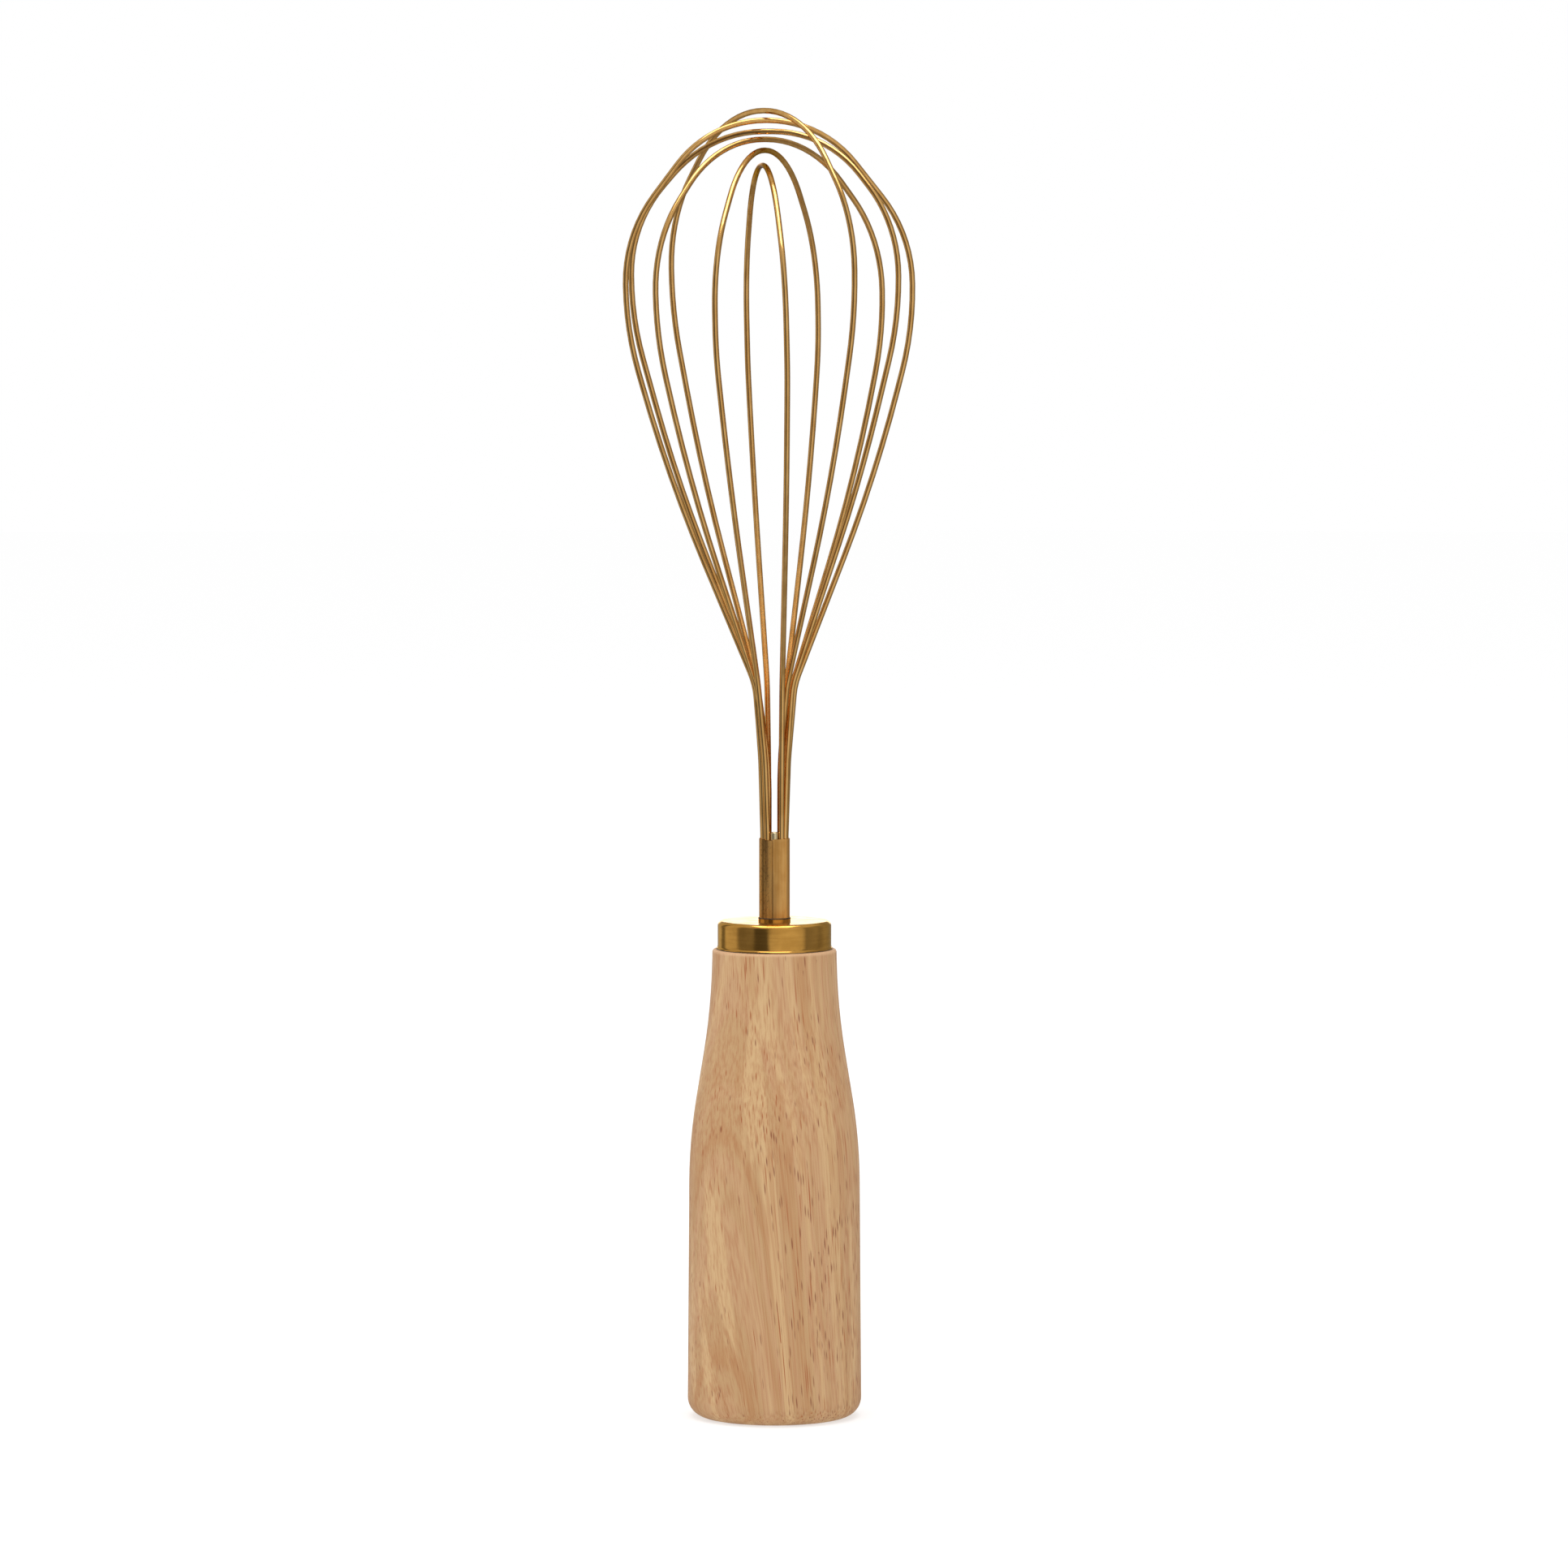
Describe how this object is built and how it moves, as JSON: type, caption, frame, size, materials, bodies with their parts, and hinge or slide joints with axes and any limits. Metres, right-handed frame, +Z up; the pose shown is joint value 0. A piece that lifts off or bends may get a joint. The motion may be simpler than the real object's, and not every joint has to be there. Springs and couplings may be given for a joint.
{
  "type": "balloon whisk",
  "caption": "Hand whisk with nested spring-wire loops forming a balloon, gathered in a rolled metal sleeve and capped on a turned bottle-shaped wooden handle.",
  "frame": {"origin": "middle of the handle's flat foot, on the handle's turning axis", "axes": "+Z runs up the handle towards the crown of the balloon; +X is to the right when the sleeve's seam faces the viewer; +Y points away from the viewer"},
  "size_m": [0.0578, 0.0578, 0.2604],
  "materials": {
    "handle_wood": "turned pale hardwood, satin clear coat",
    "cap_metal": "drawn sheet, polished antique gold",
    "sleeve_metal": "rolled strip, softly brushed antique gold",
    "pin_metal": "bright plated pin",
    "potting": "cast resin",
    "wire": "drawn spring wire, antique gold plating"
  },
  "bodies": {
    "root": {"handle": "handle_wood", "cap": "cap_metal", "wire_sleeve": "sleeve_metal", "wedge_pin": "pin_metal", "potting_plug": "potting", "wire_loop_1": "wire", "wire_loop_2": "wire", "wire_loop_3": "wire", "wire_loop_4": "wire", "wire_loop_5": "wire", "wire_loop_6": "wire"}
  },
  "joints": []
}
